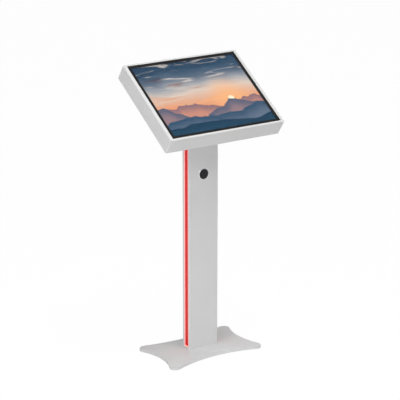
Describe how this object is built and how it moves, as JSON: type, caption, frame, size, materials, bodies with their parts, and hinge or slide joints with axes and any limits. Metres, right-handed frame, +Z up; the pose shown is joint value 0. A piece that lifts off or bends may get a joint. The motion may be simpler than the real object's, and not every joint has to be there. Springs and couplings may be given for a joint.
{
  "type": "information kiosk",
  "caption": "Freestanding information kiosk: a sloping touch screen head on a slim folded-steel column with a red light strip down each side, on a lobed steel base plate.",
  "frame": {"origin": "middle of the floor face under the base plate, on the column's axis", "axes": "+Z up, -Y towards the user who stands in front of the screen, +X to the user's right"},
  "size_m": [0.54, 0.3821, 1.2119],
  "materials": {
    "powder_paint": "fine powder coat, satin",
    "floor_rubber": "matt",
    "zinc_steel": "zinc plated, dull",
    "fastener_steel": "zinc plated, bright",
    "barrel_chrome": "polished",
    "tray_white": "milky white, tinted by the light strip",
    "lens_red": "translucent red, satin",
    "circuit_green": "solder mask",
    "driver_shell": "smooth",
    "badge_rim": "satin",
    "badge_black": "smooth",
    "black_plastic": "fine grain",
    "rocker_red": "smooth",
    "cable_black": "smooth sheath",
    "black_foam": "foam",
    "screen_glass": "clear, black printed border on its back",
    "screen_picture": "display surface",
    "button_grey": "smooth",
    "standoff_brass": "turned",
    "fan_grey": "smooth"
  },
  "bodies": {
    "root": {"base_plate": "powder_paint", "floor_mat": "floor_rubber", "foot_flange": "zinc_steel", "foot_bolts": "fastener_steel", "column_shell": "powder_paint", "column_rear_cover": "powder_paint", "column_cover_screws": "fastener_steel", "top_flange": "zinc_steel", "light_tray_left": "tray_white", "light_tray_right": "tray_white", "light_lens_left": "lens_red", "light_lens_right": "lens_red", "led_bar_left": "circuit_green", "led_bar_right": "circuit_green", "led_driver": "driver_shell", "badge_ring": "badge_rim", "badge_disc": "badge_black", "power_inlet": "black_plastic", "inlet_screws": "fastener_steel", "mains_lead": "cable_black", "cable_grommet": "floor_rubber", "head_housing": "powder_paint", "glass_tape": "black_foam", "touch_glass": "screen_glass", "panel_gasket": "black_foam", "display_cell": "screen_picture", "display_chassis": "zinc_steel", "panel_rail_left": "zinc_steel", "panel_rail_right": "zinc_steel", "rail_studs": "fastener_steel", "rail_nuts": "fastener_steel", "equipment_plate": "zinc_steel", "plate_screws": "fastener_steel", "mini_computer": "black_plastic", "power_supply": "zinc_steel", "display_board": "circuit_green", "touch_board": "circuit_green", "board_standoffs": "standoff_brass", "speaker_left": "black_plastic", "speaker_right": "black_plastic", "fan_frame": "black_plastic", "fan_screws": "fastener_steel", "rear_cover": "powder_paint", "rear_cover_screws": "fastener_steel", "hatch_ledges": "zinc_steel", "neck_plate": "zinc_steel", "neck_bolts": "fastener_steel", "neck_nuts": "fastener_steel", "hinge_fixed_leaves": "fastener_steel", "hinge_pins": "fastener_steel"},
    "hatch": {"service_hatch": "powder_paint", "hinge_door_leaves": "fastener_steel", "lock_barrel": "barrel_chrome", "lock_nut": "fastener_steel"},
    "lock": {"lock_cam": "fastener_steel"},
    "fan": {"fan_rotor": "fan_grey"},
    "rocker": {"inlet_switch": "rocker_red"},
    "button": {"computer_button": "button_grey"}
  },
  "joints": [
    {"name": "hatch_hinge", "type": "hinge", "parent": "root", "child": "hatch", "pos_m": [0, 0.16644, 1.13974], "axis": [1, 0, 0], "range_deg": [0, 100]},
    {"name": "lock_turn", "type": "hinge", "parent": "hatch", "child": "lock", "pos_m": [0, 0.06943, 1.07828], "axis": [0, 0.5592, -0.829], "range_deg": [0, 90]},
    {"name": "fan_spin", "type": "hinge", "parent": "root", "child": "fan", "pos_m": [0.105, -0.0878, 0.97464], "axis": [0, -0.5592, 0.829], "continuous": true},
    {"name": "switch_rock", "type": "hinge", "parent": "root", "child": "rocker", "pos_m": [0, 0.0195, 0.113], "axis": [1, 0, 0], "range_deg": [-16, 0]},
    {"name": "button_press", "type": "slide", "parent": "root", "child": "button", "axis": [0, -0.5592, 0.829], "range_m": [0, 0.0012], "stiffness_N_per_m": 300}
  ]
}
